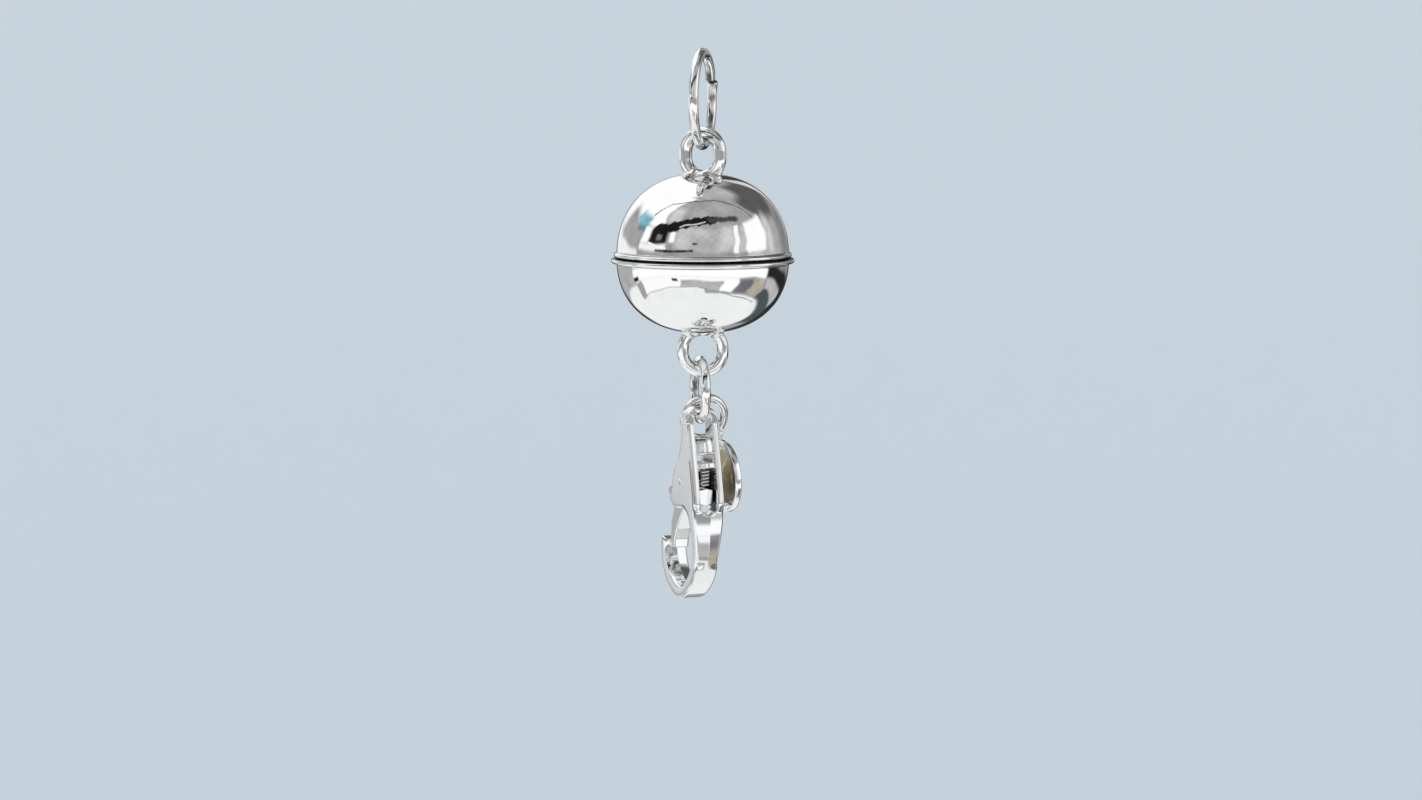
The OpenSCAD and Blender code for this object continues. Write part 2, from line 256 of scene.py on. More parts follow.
def netPiece(name, distance, low, high, step, place, layers=None):  # place is the piece's origin, x, y and z
    points, quads, normals = surfaceNet(distance, low, high, step)
    origin, basis = place[0], np.array(place[1:])
    print(name, len(quads) * 2, "triangles")
    return meshFrom(name, points @ basis + origin, quads, normals @ basis,
                    {k: f(*points.T) for k, f in (layers or {}).items()})


class Socket:  # a shader socket with arithmetic
    def __init__(self, material, output):
        self.material, self.output = material, output

    def maths(self, operation, other):
        return self.material.node("ShaderNodeMath", 0, [self, other], operation=operation)

    def __add__(self, other):
        return self.maths("ADD", other)

    def __mul__(self, other):
        return self.maths("MULTIPLY", other)


class Metal:  # a Principled metal fed by noise and attributes
    def __init__(self, name, colour, rough):
        self.data = bpy.data.materials.new(name)
        self.data.use_nodes = True
        self.tree = self.data.node_tree
        self.shader = self.tree.nodes["Principled BSDF"]
        self.shader.inputs["Metallic"].default_value = 1.0
        self.shader.inputs["Base Color"].default_value = (*colour, 1)
        self.shader.inputs["Roughness"].default_value = rough

    def node(self, kind, output, values=(), **settings):
        made = self.tree.nodes.new(kind)
        for key, value in settings.items():
            setattr(made, key, value)
        pairs = values.items() if isinstance(values, dict) else enumerate(values)
        for key, value in pairs:
            if isinstance(value, Socket):
                self.tree.links.new(value.output, made.inputs[key])
            elif value is not None:
                made.inputs[key].default_value = value
        return Socket(self, made.outputs[output])

    def noise(self, scale, stretch=(1, 1, 1)):
        place = self.node("ShaderNodeTexCoord", "Object")
        if stretch != (1, 1, 1):
            place = self.node("ShaderNodeMapping", 0, {0: place, "Scale": stretch})
        return self.node("ShaderNodeTexNoise", 0, {"Vector": place, "Scale": scale, "Detail": 2})

    def attribute(self, name):
        return self.node("ShaderNodeAttribute", "Fac", attribute_name=name)

    def remap(self, value, a, b, c, d):
        return self.node("ShaderNodeMapRange", 0, [value, a, b, c, d])

    def mixColour(self, share, a, b):
        return self.node("ShaderNodeMix", 2, {0: share, 6: a, 7: b}, data_type="RGBA")

    def bump(self, height, strength, depth):
        return self.node("ShaderNodeBump", 0, {"Height": height, "Strength": strength, "Distance": depth})

    def feed(self, **sockets):
        for key, value in sockets.items():
            self.tree.links.new(value.output, self.shader.inputs[key.replace("_", " ")])
        return self


# paintedDark is the near-black colour mixed in as painted shade; paintedDarkRough is the roughness it adds there
wearAndShade = {"cloud": 450, "fine": 9000, "hair": 2600, "hairStretch": (1, 6, 1), "hairDepth": 0.000004,
        "frostDepth": 0.00001, "paintedDark": (0.02, 0.02, 0.022), "paintedDarkRough": 0.3}


def silver(name, look):  # polished, with satin, toned and painted-shade attributes
    metal = Metal(name, look["colour"], look["rough"])
    cloud, fine = metal.noise(wearAndShade["cloud"]), metal.noise(wearAndShade["fine"])
    hair = metal.noise(wearAndShade["hair"], wearAndShade["hairStretch"])
    satin, tone, grime = (metal.attribute(key) for key in ("satin", "tone", "grime"))
    shiny = metal.remap(cloud, 0.35, 0.7, look["rough"] * 0.7, look["rough"] * 1.5)
    frost = metal.remap(fine, 0.3, 0.7, look["frost"] * 0.75, look["frost"] * 1.15)
    rough = shiny + satin * frost + grime * wearAndShade["paintedDarkRough"]
    uneven = metal.bump(hair, look["hair"], wearAndShade["hairDepth"])
    grain = {"Height": fine, "Distance": wearAndShade["frostDepth"], "Strength": satin * look["grain"], "Normal": uneven}
    normal = metal.node("ShaderNodeBump", 0, grain)
    tarnished = metal.remap(cloud, 0.35, 0.75, 0.0, look["dull"])
    tint = metal.mixColour(tarnished, (*look["colour"], 1), (*look["tarnish"], 1))
    # satin and tone set the finish; the last mix darkens the metal towards near-black as painted shade in crevices
    # and along dark lines
    for share, colour in ((satin, look["blasted"]), (tone, look["toned"]), (grime, wearAndShade["paintedDark"])):
        tint = metal.mixColour(share, tint, (*colour, 1))
    return metal.feed(Base_Color=tint, Roughness=rough, Normal=normal).data


def plain(name, colour, rough):
    return Metal(name, colour, rough).data


looks = {"colour": (0.9, 0.905, 0.91), "tarnish": (0.74, 0.73, 0.7), "toned": (0.68, 0.58, 0.38),
         "blasted": (0.93, 0.935, 0.97), "rough": 0.035, "frost": 0.3, "grain": 0.35, "hair": 0.05, "dull": 0.25}
ballMetal = silver("ball_silver", looks)
ringMetal = silver("ring_silver", {**looks, "hair": 0.08, "dull": 0.3})
clawMetal = silver("claw_silver", {**looks, "colour": (0.86, 0.87, 0.88), "rough": 0.07, "frost": 0.4, "grain": 1.0})
tagMetal = silver("tag_silver", {**looks, "rough": 0.08})
springMetal = plain("spring_steel", (0.62, 0.62, 0.64), 0.2)
magnetMetal = plain("magnet", (0.4, 0.41, 0.43), 0.3)


def dress(obj, body, slot, metal, *nodes):
    obj.data.materials.append(metal)
    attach(obj, body)
    if nodes:
        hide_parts(*nodes)
    return obj


ringWire, linkWire, tagWire, gap = 0.55, 0.52, 0.44, 0.04
ringR, linkR, tagR = 2.545, 1.64, 1.215
upperLoop = {"w": 2.84, "h": 3.15, "wire": 0.72, "turn": -27}
lowerLoop = {"w": 2.85, "h": 3.01, "wire": 0.64, "turn": 0}
ball = {"r": 4.78, "power": 2.25, "wall": 0.42, "rim": 0.28, "bore": 3.25, "seam": 0.05, "tip": 0.002,
        "upperH": 4.65, "lowerH": 4.19, "sink": 0.54, "upperLip": 0.15, "lowerLip": 0.30, "sides": 256}
linkDir, clawTurn = flatDir(101.8), 23
clawH, clawW, clawT, hookT, slotW = 11.0, 5.5, 2.0, 1.5, 1.05
eyeX, eyeDrop, eyeArch = 0.276, 0.40, 0.09

ringZ = ringWire / 2 - ringR
upperLoop["top"] = ringZ - ringR + (ringWire + upperLoop["wire"]) / 2 + gap
upperApex = upperLoop["top"] + upperLoop["wire"] / 2 - upperLoop["h"] + ball["sink"]
seamZ = upperApex - ball["upperH"]
lowerApex = seamZ - ball["lowerH"]
lowerLoop["top"] = lowerApex + ball["sink"] - lowerLoop["wire"] / 2
lowerLoopLow = lowerLoop["top"] - lowerLoop["h"] + lowerLoop["wire"]
linkZ = lowerLoopLow + (lowerLoop["wire"] + linkWire) / 2 + gap - linkR
linkX = -0.03 * ball["r"]
linkBore = linkR - linkWire / 2
archReach = eyeArch * clawW
eyeZ = linkZ - linkR + linkWire / 2 + gap + linkBore - math.sqrt(linkBore ** 2 - archReach ** 2) + gap / 2
clawTop = eyeZ + eyeDrop
print("seam", round(seamZ, 3), "claw top", round(clawTop, 3))


ringRows, ringSides, tagSides = 240, 44, 40


def ringLine(middle, r, across, upward):
    t = np.linspace(0, 2 * np.pi, ringRows, endpoint=False)[:, None]
    return np.asarray(middle) + r * (np.cos(t) * across + np.sin(t) * upward)


topRing = {"turn": 78.5, "jointAt": 21, "joint": 0.08, "swell": 0.05, "spread": 9, "step": 0.07, "rows": 300,
           "round": 1.2, "thin": 0.16, "thick": 0.02, "paintedDark": 0.8, "endPaintedDark": 0.9}
halfJoint = topRing["joint"] / ringR / 2
t = np.linspace(0, math.radians(360) - 2 * halfJoint, topRing["rows"]) + math.radians(topRing["jointAt"]) + halfJoint
fromJoint = np.degrees(np.minimum(t - t[0], t[-1] - t))
nearJoint = np.exp(-(fromJoint / topRing["spread"]) ** 2)
outwards = np.cos(t)[:, None] * flatDir(topRing["turn"]) + np.sin(t)[:, None] * UP
line = np.array([0, 0, ringZ]) + (ringR + topRing["swell"] * nearJoint)[:, None] * outwards
sideways = topRing["step"] * nearJoint * np.where(t < t.mean(), 1, -1)
line += sideways[:, None] * flatDir(topRing["turn"] + 90)
edge = np.clip(fromJoint / topRing["round"], 0, 1)
thick = ringWire / 2 * (1 - topRing["thin"] * (1 - edge) ** 2 + topRing["thick"] * nearJoint)
# painted shade: darker at the cut joint, on the cut faces and along the inside of the ring
cutShade = np.repeat(topRing["paintedDark"] * smoothStep(1.6, 0.4, fromJoint), ringSides)
cutShade = np.maximum(cutShade, innerShade(topRing["rows"], ringSides))
cutShade = np.append(cutShade, [topRing["endPaintedDark"]] * 2)
dress(meshOf("top_jump_ring_metal", [tube(line, thick, ringSides, False)], {"grime": cutShade}),
      "upper", "ring_silver", ringMetal, "top_jump_ring")
# painted shade along the inside of the ring
dress(meshOf("link_ring_metal", [tube(ringLine([linkX, 0, linkZ], linkR, linkDir, UP), linkWire / 2, ringSides)],
             {"grime": innerShade(ringRows, ringSides)}),
      "lower", "ring_silver", ringMetal, "link_ring")
tagRing = {"climb": 52, "roll": 27, "lean": 17, "lugAt": -54, "gap": 0.06}
across, away = flatDir(clawTurn), flatDir(clawTurn + 90)
lean = math.radians(tagRing["lean"])
tiltedUp = math.cos(lean) * UP - math.sin(lean) * away
seat = linkR - (linkWire + tagWire) / 2 - tagRing["gap"]
climb = math.radians(tagRing["climb"])
tagHold = np.array([linkX, 0, linkZ]) + seat * (math.sin(climb) * linkDir - math.cos(climb) * UP)


def onTagRing(angle):
    a = math.radians(angle)
    return tagR * (math.cos(a) * across + math.sin(a) * tiltedUp)


tagMid = tagHold - onTagRing(90 + tagRing["roll"])
# painted shade along the inside of the ring
dress(meshOf("tag_ring_metal", [tube(ringLine(tagMid, tagR, across, tiltedUp), tagWire / 2, tagSides)],
             {"grime": innerShade(ringRows, tagSides)}),
      "lower", "ring_silver", ringMetal, "tag_ring")
print("rings made")


def dome(r, h, count=140):  # superellipse from rim to apex
    t = np.linspace(0, np.pi / 2, count)
    return np.stack([r * np.cos(t) ** (2 / ball["power"]), h * np.sin(t) ** (2 / ball["power"])], 1)


def halfShell(h, lip):
    h, rim = h - ball["seam"] / 2, ball["rim"]
    turn = np.radians(np.linspace(-90, 90, 17))
    rimR = ball["r"] + lip
    bead = np.stack([rimR - rim / 2 + rim / 2 * np.cos(turn), rim / 2 + rim / 2 * np.sin(turn)], 1)
    skin = dome(ball["r"], h)
    skin = skin[skin[:, 1] > rim]
    skin[-1, 0] = ball["tip"]
    inner = dome(ball["r"] - ball["wall"], h - ball["wall"], 40)
    inner = inner[inner[:, 1] > rim]
    inner[-1, 0] = ball["tip"]
    foot = [[ball["r"] + 0.02, rim + 0.005], [ball["r"] - 0.002, rim + 0.02]]  # small fillet above the rim
    return np.vstack([[[ball["bore"], rim], [ball["bore"], 0.03], [ball["bore"] + 0.03, 0]], bead, foot, skin,
                      inner[::-1], [[ball["bore"] + 0.01, rim]]])


def loopLine(loop):  # half circles joined by straight legs
    r = (loop["w"] - loop["wire"]) / 2
    leg = loop["h"] - loop["w"]
    a = np.linspace(0, np.pi, 60)
    flat = np.vstack([np.stack([r * np.cos(a), -r + r * np.sin(a)], 1),
                      np.stack([-r * np.cos(a), -r - leg - r * np.sin(a)], 1)])
    return flat[:, :1] * flatDir(loop["turn"]) + (flat[:, 1:] + loop["top"]) * UP


solder = {"sunk": 0.03, "high": 0.13, "wide": 1.35, "top": 0.5, "lumps": 0.03, "blend": 0.22, "reach": 1.55,
          "squat": 1.6, "step": 0.04, "box": 1.7, "deep": 1.1}


def footDistance(loop, apexZ, sign, h):  # mound of solder blended into shell and wire
    r = (loop["w"] - loop["wire"]) / 2
    leg = loop["h"] - loop["w"]
    mid = loop["top"] - r - leg / 2
    side = flatDir(loop["turn"])
    over = np.array([-side[1], side[0]])

    def distance(x, y, z):
        u, w = x * side[0] + y * side[1], x * over[0] + y * over[1]
        q = z - mid
        q = np.sign(q) * np.maximum(np.abs(q) - leg / 2, 0)
        wire = np.hypot(np.hypot(u, q) - r, w) - loop["wire"] / 2
        rise = (z - seamZ) * sign
        flat = np.hypot(x, y)
        power = ball["power"]
        level = (np.abs(flat / ball["r"]) ** power + np.abs(rise / h) ** power) ** (1 / power)
        mound = solder["high"] * smoothStep(solder["wide"], solder["top"], flat)
        body = (level - 1) * h + solder["sunk"] - mound
        lumps = solder["lumps"] * np.sin(7 * x + 1) * np.sin(6 * y + 2) * smoothStep(solder["wide"], 0.9, flat)
        joint = either(body, wire, solder["blend"]) + lumps
        return np.maximum(joint, np.hypot(flat, (z - apexZ) * solder["squat"]) - solder["reach"])

    return distance


def half(name, body, loop, apexZ, sign, h, lip, node):
    profile = halfShell(h, lip)
    profile[:, 1] = profile[:, 1] * sign + seamZ + sign * ball["seam"] / 2
    if sign < 0:
        profile = profile[::-1]
    shell = lathe(profile, ball["sides"])
    wire = tube(loopLine(loop), loop["wire"] / 2, ringSides)
    fromSeam = np.abs(shell[0][:, 2] - seamZ)
    onRim = np.hypot(shell[0][:, 0], shell[0][:, 1]) > ball["r"] - 0.35
    # painted shade: dark in the groove between the two rims and a dark line at the foot of each bead
    groove = smoothStep(0.09, 0.05, fromSeam) * onRim
    footLine = smoothStep(0.05, 0.015, np.abs(fromSeam - ball["rim"] - ball["seam"] / 2 - 0.01))
    footLine = footLine * (0.7 if sign < 0 else 0.45)
    grime = np.concatenate([np.maximum(groove, footLine * onRim), innerShade(len(wire[0]) // ringSides, ringSides)])
    low = [-solder["box"], -solder["box"], apexZ - solder["deep"]]
    high = [solder["box"], solder["box"], apexZ + solder["deep"]]
    net = surfaceNet(footDistance(loop, apexZ, sign, h), low, high, solder["step"])
    dress(meshFrom(name + "_solder", *net), body, "ball_silver", ringMetal)
    dress(meshOf(name, [shell, wire], {"grime": grime}), body, "ball_silver", ballMetal, node)


half("upper_half_metal", "upper", upperLoop, upperApex, 1, ball["upperH"], ball["upperLip"], "upper_half")
half("lower_half_metal", "lower", lowerLoop, lowerApex, -1, ball["lowerH"], ball["lowerLip"], "lower_half")
for node in ("upper_magnet", "lower_magnet"):
    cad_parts[node].data.materials.clear()
    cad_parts[node].data.materials.append(magnetMetal)
print("ball made")


clawX, clawY = flatDir(clawTurn + 90), flatDir(clawTurn + 180)
clawPlace = (np.array([linkX - gap, 0, 0]) - eyeX * clawW * clawX, clawX, clawY, UP)
pivotAt = (0.353, 0.394)
outline = [[eyeX, 0.000], [0.200, 0.025], [0.184, 0.105], [0.135, 0.206], [0.065, 0.351], [0.007, 0.505],
           [0.000, 0.658], [0.070, 0.810], [0.245, 0.932], [0.545, 1.000], [0.845, 0.940], [1.000, 0.815],
           [0.965, 0.690], [0.800, 0.565], [0.651, 0.469], [0.571, 0.351], [0.425, 0.251], [0.365, 0.151],
           [0.353, 0.025]]
hookHole = [[0.189, 0.600], [0.218, 0.751], [0.318, 0.856], [0.527, 0.926], [0.745, 0.882], [0.852, 0.795],
            [0.850, 0.700], [0.665, 0.578], [0.400, 0.533], [0.245, 0.545]]
mouth = [[0.291, 0.538], [0.573, 0.537], [0.655, 0.501], [1.127, 0.482], [1.127, 0.660], [0.955, 0.708],
         [0.845, 0.726], [0.727, 0.728], [0.291, 0.615]]
armSlot = [[0.189, 0.426], [1.2, 0.426], [1.2, 0.640], [0.219, 0.605]]
leverArm = [[*pivotAt, 0.110], [0.500, 0.462, 0.112], [0.645, 0.545, 0.091], [0.762, 0.640, 0.070],
            [0.790, 0.710, 0.046], [0.789, 0.755, 0.032]]
leverTail = [[0.090, 0.418], [0.300, 0.418], [0.400, 0.394], [0.450, 0.488], [0.360, 0.508], [0.094, 0.508]]
thumbTab = [[0.420, 0.390], [0.560, 0.405], [0.700, 0.421], [0.840, 0.433], [0.898, 0.458], [0.875, 0.488],
            [0.780, 0.488], [0.700, 0.493], [0.640, 0.517], [0.500, 0.507]]
pivot = np.array([pivotAt[0] * clawW, 0, clawTop - pivotAt[1] * clawH])


def onClaw(rows):
    rows = np.asarray(rows, float)
    return np.stack([rows[:, 0] * clawW, clawTop - rows[:, 1] * clawH], 1)


def downTo(share):
    return clawTop - share * clawH


def between(a, b, z):
    return smoothStep(downTo(a), downTo(b), z)


low2, high2 = (-0.4, clawTop - clawH - 0.4), (clawW + 0.5, clawTop + 0.4)
outlineField = FlatField(closedCurve(onClaw(outline), 24), low2, high2)
holeField = FlatField(closedCurve(onClaw(hookHole), 24), low2, high2)
mouthField = FlatField(onClaw(mouth), low2, high2)
armField = FlatField(onClaw(armSlot), low2, high2)
slotHalf, slotFoot, slotTip = slotW / 2, 0.523, 0.552
a = np.linspace(0, np.pi, 40)
slotShape = np.vstack([np.stack([slotHalf * np.cos(a), eyeZ - slotHalf + slotHalf * np.sin(a)], 1),
                       [[-slotHalf, downTo(slotFoot)], [0, downTo(slotTip)], [slotHalf, downTo(slotFoot)]]])
slotField = FlatField(slotShape, (-1.4, low2[1]), (1.4, high2[1]))
claw = {"edge": 0.16, "droop": 0.09, "reach": 0.5, "ridge": 0.24, "slotEdge": 0.07, "crown": 0.15, "pillow": 0.3,
        "holeEdge": 0.12, "mouthEdge": 0.1, "cheekMid": 0.76, "margin": 0.12, "half": 1.15, "step": 0.05}
seats = {"blockAt": 0.2055, "blockHalf": 0.0455, "blockMid": 0.215, "blockEdge": 0.12, "seatAt": 0.302,
         "seatHalf": 0.015, "seatEdge": 0.08, "seatDeep": 0.28, "into": 0.1, "recess": 0.03, "joint": 0.02}


def faceDistance(x, y, z):
    ridge = between(0.49, 0.545, z) * between(0.84, 0.79, z) * (1 - smoothStep(0.4, 1.0, x / 1.4))
    shape = outlineField(x, z) + claw["ridge"] * ridge * np.abs(y)
    holeRidge = claw["ridge"] * between(0.60, 0.68, z) * np.abs(y)
    shape = both(shape, holeRidge - holeField(x, z), claw["holeEdge"])
    return both(shape, -mouthField(x, z), claw["mouthEdge"])


def clawDistance(x, y, z):
    face = faceDistance(x, y, z)
    thick = clawT / 2 + (hookT - clawT) / 2 * between(0.52, 0.80, z)
    thick = thick - claw["droop"] * np.exp(np.minimum(face, 0) / claw["reach"])
    archZ = clawTop - clawT / 2
    back = np.where(z > archZ, np.hypot(y, z - archZ) - clawT / 2, np.abs(y) - thick)
    crown = claw["crown"] * (np.abs(y) - claw["cheekMid"]) ** 2 * between(0.56, 0.52, z)
    solid = both(face + crown, back, claw["edge"])
    slot = either(slotField(y, z), np.maximum(armField(x, z), np.abs(y) - slotHalf), 0.03)
    slotted = both(solid, -slot, claw["slotEdge"])
    inSlot = np.abs(y) - slotHalf - seats["into"]
    pillow = face + seats["recess"] + claw["pillow"] * y * y
    blockFace = pillow + claw["pillow"] * (z - downTo(seats["blockMid"])) ** 2
    block = both(np.abs(z - downTo(seats["blockAt"])) - seats["blockHalf"] * clawH, blockFace, seats["blockEdge"])
    block = both(block, inSlot, seats["joint"])
    seat = both(np.abs(z - downTo(seats["seatAt"])) - seats["seatHalf"] * clawH, pillow, seats["seatEdge"])
    seat = both(seat, np.maximum(inSlot, x - seats["seatDeep"] * clawW), seats["joint"])
    return either(slotted, np.minimum(block, seat), 0.03)


def satinOf(x, y, z):  # frosted on the flat of each cheek, polished at the edges and the spine
    return smoothStep(0.14, 0.3, -faceDistance(x, y * 0, z)) * smoothStep(0.55, 0.62, np.abs(y)) * 0.9


def paintedShadeOf(x, y, z):  # painted shade in the depth of the slot and painted dark lines along the edges, broken into patches
    face, off = faceDistance(x, y * 0, z), np.abs(y)
    low = between(0.26, 0.29, z) * between(0.58, 0.55, z)
    wall = smoothStep(0.12, 0.04, np.abs(off - slotHalf)) * smoothStep(0.2, 0.45, -face)
    rim = smoothStep(0.08, 0.03, np.abs(face + 0.2)) * smoothStep(0.7, 0.85, off)
    rim = rim * low * smoothStep(0.36, 0.30, x / clawW)
    uneven = 0.5 + 0.3 * np.sin(3.1 * z + x) + 0.25 * np.sin(7.3 * z)
    edge = smoothStep(0.06, 0.02, np.abs(face + 0.07)) * smoothStep(0.5, 0.62, off)
    edge = edge * np.clip(uneven, 0, 0.8) * between(0.5, 0.56, z)
    return np.maximum(np.maximum(0.95 * wall * low, 0.8 * rim), edge)


clawLow = (-0.15, -claw["half"], clawTop - clawH - claw["margin"])
clawHigh = (clawW + 0.15, claw["half"], clawTop + claw["margin"])
dress(netPiece("claw_body_metal", clawDistance, clawLow, clawHigh, claw["step"], clawPlace,
               {"satin": satinOf, "grime": paintedShadeOf}), "lower", "claw_silver", clawMetal, "claw_body")


def stripOutline(rows):
    rows = np.asarray(rows, float)
    middle = onClaw(rows[:, :2])
    along = unit(np.vstack([middle[1:2] - middle[:1], middle[2:] - middle[:-2], middle[-1:] - middle[-2:-1]]))
    side = np.stack([along[:, 1], -along[:, 0]], 1) * rows[:, 2:] * clawW
    return np.vstack([middle - side, (middle + side)[::-1]])


armShape = FlatField(stripOutline(leverArm), low2, high2)
tailShape = FlatField(onClaw(leverTail), low2, high2)
tabShape = FlatField(closedCurve(onClaw(thumbTab), 12), low2, high2)
lever = {"t": slotW - 0.15, "edge": 0.09, "ridge": 0.25, "hub": 0.110, "blend": 0.08, "tailBlend": 0.05,
         "half": 0.6, "step": 0.045}


def leverDistance(x, y, z):
    hub = np.hypot(x - pivot[0], z - pivot[2]) - lever["hub"] * clawW
    ridge = 1 - smoothStep(0.25, 0.33, x / clawW)
    shape = either(either(armShape(x, z), hub, lever["blend"]), tabShape(x, z), lever["blend"])
    shape = either(shape, tailShape(x, z) + lever["ridge"] * ridge * np.abs(y), lever["tailBlend"])
    return both(shape, np.abs(y) - lever["t"] / 2, lever["edge"])


leverLow, leverHigh = (0.2, -lever["half"], downTo(0.79)), (clawW, lever["half"], downTo(0.35))
dress(netPiece("claw_lever_metal", leverDistance, leverLow, leverHigh, lever["step"], clawPlace),
      "lever", "lever_silver", clawMetal, "claw_lever")

rivet = {"r": 0.30, "proud": 0.03, "sides": 48}
end, r = clawT / 2 + rivet["proud"], rivet["r"]
head = [[0.002, end], [r * 0.6, end - 0.012], [r * 0.9, end - 0.05], [r, end - 0.12]]
profile = [[out, -up] for out, up in head] + head[::-1]
pin, pinFaces = lathe(profile, rivet["sides"])
pin = pin @ np.array([clawX, UP, clawY])  # its axis lies across the claw
pin += clawPlace[0] + pivot @ np.array([clawX, clawY, UP])
dress(meshOf("claw_rivet_metal", [(pin, [f[:, ::-1] for f in pinFaces])]),
      "lower", "claw_silver", clawMetal, "claw_rivet")

spring = {"d": 0.72, "wire": 0.13, "turns": 5, "x": 0.162, "gap": 0.03, "top": 0.317, "low": 0.418, "steps": 48,
          "sides": 14}
coilR = (spring["d"] - spring["wire"]) / 2
springTop = downTo(spring["top"]) - spring["gap"] - spring["wire"] / 2
springLow = downTo(spring["low"]) + spring["gap"] + spring["wire"] / 2
t = np.linspace(0, 1, spring["turns"] * spring["steps"] + 1)
turn = 2 * np.pi * spring["turns"] * t
coil = np.stack([spring["x"] * clawW + coilR * np.cos(turn), coilR * np.sin(turn),
                 springLow + (springTop - springLow) * t], 1)
coil = coil @ np.array([clawX, clawY, UP]) + clawPlace[0]
coilObj = dress(meshOf("claw_spring_metal", [tube(coil, spring["wire"] / 2, spring["sides"], False)]),
                "lower", "spring_steel", springMetal, "claw_spring")
print("claw made")


tag = {"w": 3.2, "h": 4.1, "t": 0.44, "rim": 0.42, "floor": 0.18, "hole": 0.56, "wall": 0.20, "lugT": 0.20,
       "turn": -58, "lean": 21, "hang": (0.15, 0.1), "reach": 0.56, "edge": 0.16, "dishEdge": 0.10,
       "lugEdge": 0.1, "blend": 0.12, "step": 0.04}
tilt = math.radians(tag["lean"])
flat = flatDir(tag["turn"])
normal = np.cross(flat, UP)  # towards the viewer
tagX = math.cos(tilt) * flat + math.sin(tilt) * UP
tagY = -math.sin(tilt) * flat + math.cos(tilt) * UP
lugPoint = tagMid + onTagRing(tagRing["lugAt"]) + tag["hang"][0] * tagX + tag["hang"][1] * tagY
lugDist = tag["h"] / 2 + tag["reach"]


def ellipse(x, y, w, h):
    k = np.hypot(2 * x / w, 2 * y / h)
    g = np.hypot(4 * x / w ** 2, 4 * y / h ** 2)
    return k * (k - 1) / np.maximum(g, 1e-6)


def dish(x, y):
    return ellipse(x, y + lugDist, tag["w"] - 2 * tag["rim"], tag["h"] - 2 * tag["rim"])


def tagDistance(x, y, n):
    plate = both(ellipse(x, y + lugDist, tag["w"], tag["h"]), np.abs(n) - tag["t"] / 2, tag["edge"])
    hollow = both(dish(x, y), tag["floor"] - tag["t"] / 2 - n, tag["edge"])
    plate = both(plate, -hollow, tag["dishEdge"])
    fromHole = np.hypot(x, y) - tag["hole"]
    lug = both(fromHole - tag["wall"], np.abs(n) - tag["lugT"] / 2, tag["lugEdge"])
    return both(either(plate, lug, tag["blend"]), -fromHole, tag["lugEdge"])


def toneOf(x, y, n):  # warm toning that gathers in the hollow
    return smoothStep(0.02, 0.2, -dish(x, y)) * smoothStep(0.05, -0.02, n) * smoothStep(-0.1, -0.03, n)


dress(netPiece("tag_metal", tagDistance, (-1.7, -lugDist - 2.15, -0.3), (1.7, 0.85, 0.3), tag["step"],
               (lugPoint, tagX, tagY, normal), {"tone": toneOf}), "lower", "tag_silver", tagMetal, "tag")
print("tag made")

springTop * MM
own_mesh(coilObj)


paper = {"floor": -330, "half": 1500, "near": -500, "bendAt": 300, "bend": 150, "wall": 1500, "rows": 60,
         "columns": 12, "colour": (0.665, 0.735, 0.79, 1), "rough": 0.9}
v = np.linspace(0, 1, paper["rows"])
bend = np.clip((v - 0.55) / 0.2, 0, 1) * np.pi / 2
run = np.where(v < 0.55, paper["near"] + v / 0.55 * (paper["bendAt"] - paper["near"]),
               paper["bendAt"] + paper["bend"] * np.sin(bend))
rise = np.where(v < 0.75, paper["bend"] * (1 - np.cos(bend)), paper["bend"] + (v - 0.75) / 0.25 * paper["wall"])
u = np.linspace(-paper["half"], paper["half"], paper["columns"])
paperPoints = np.stack(np.broadcast_arrays(u[None], run[:, None], paper["floor"] + rise[:, None]), -1).reshape(-1, 3)
backdrop = meshFrom("backdrop", paperPoints, gridFaces(paper["rows"], paper["columns"], False, False)[:, ::-1])
paperMaterial = bpy.data.materials.new("paper")
paperMaterial.use_nodes = True
shader = paperMaterial.node_tree.nodes["Principled BSDF"]
shader.inputs["Base Color"].default_value = paper["colour"]
shader.inputs["Roughness"].default_value = paper["rough"]
backdrop.data.materials.append(paperMaterial)
backdrop.visible_glossy = False

world = bpy.data.worlds.new("studio")
bpy.context.scene.world = world
world.use_nodes = True
world.node_tree.nodes["Background"].inputs["Color"].default_value = (1, 1, 1, 1)
world.node_tree.nodes["Background"].inputs["Strength"].default_value = 1.0

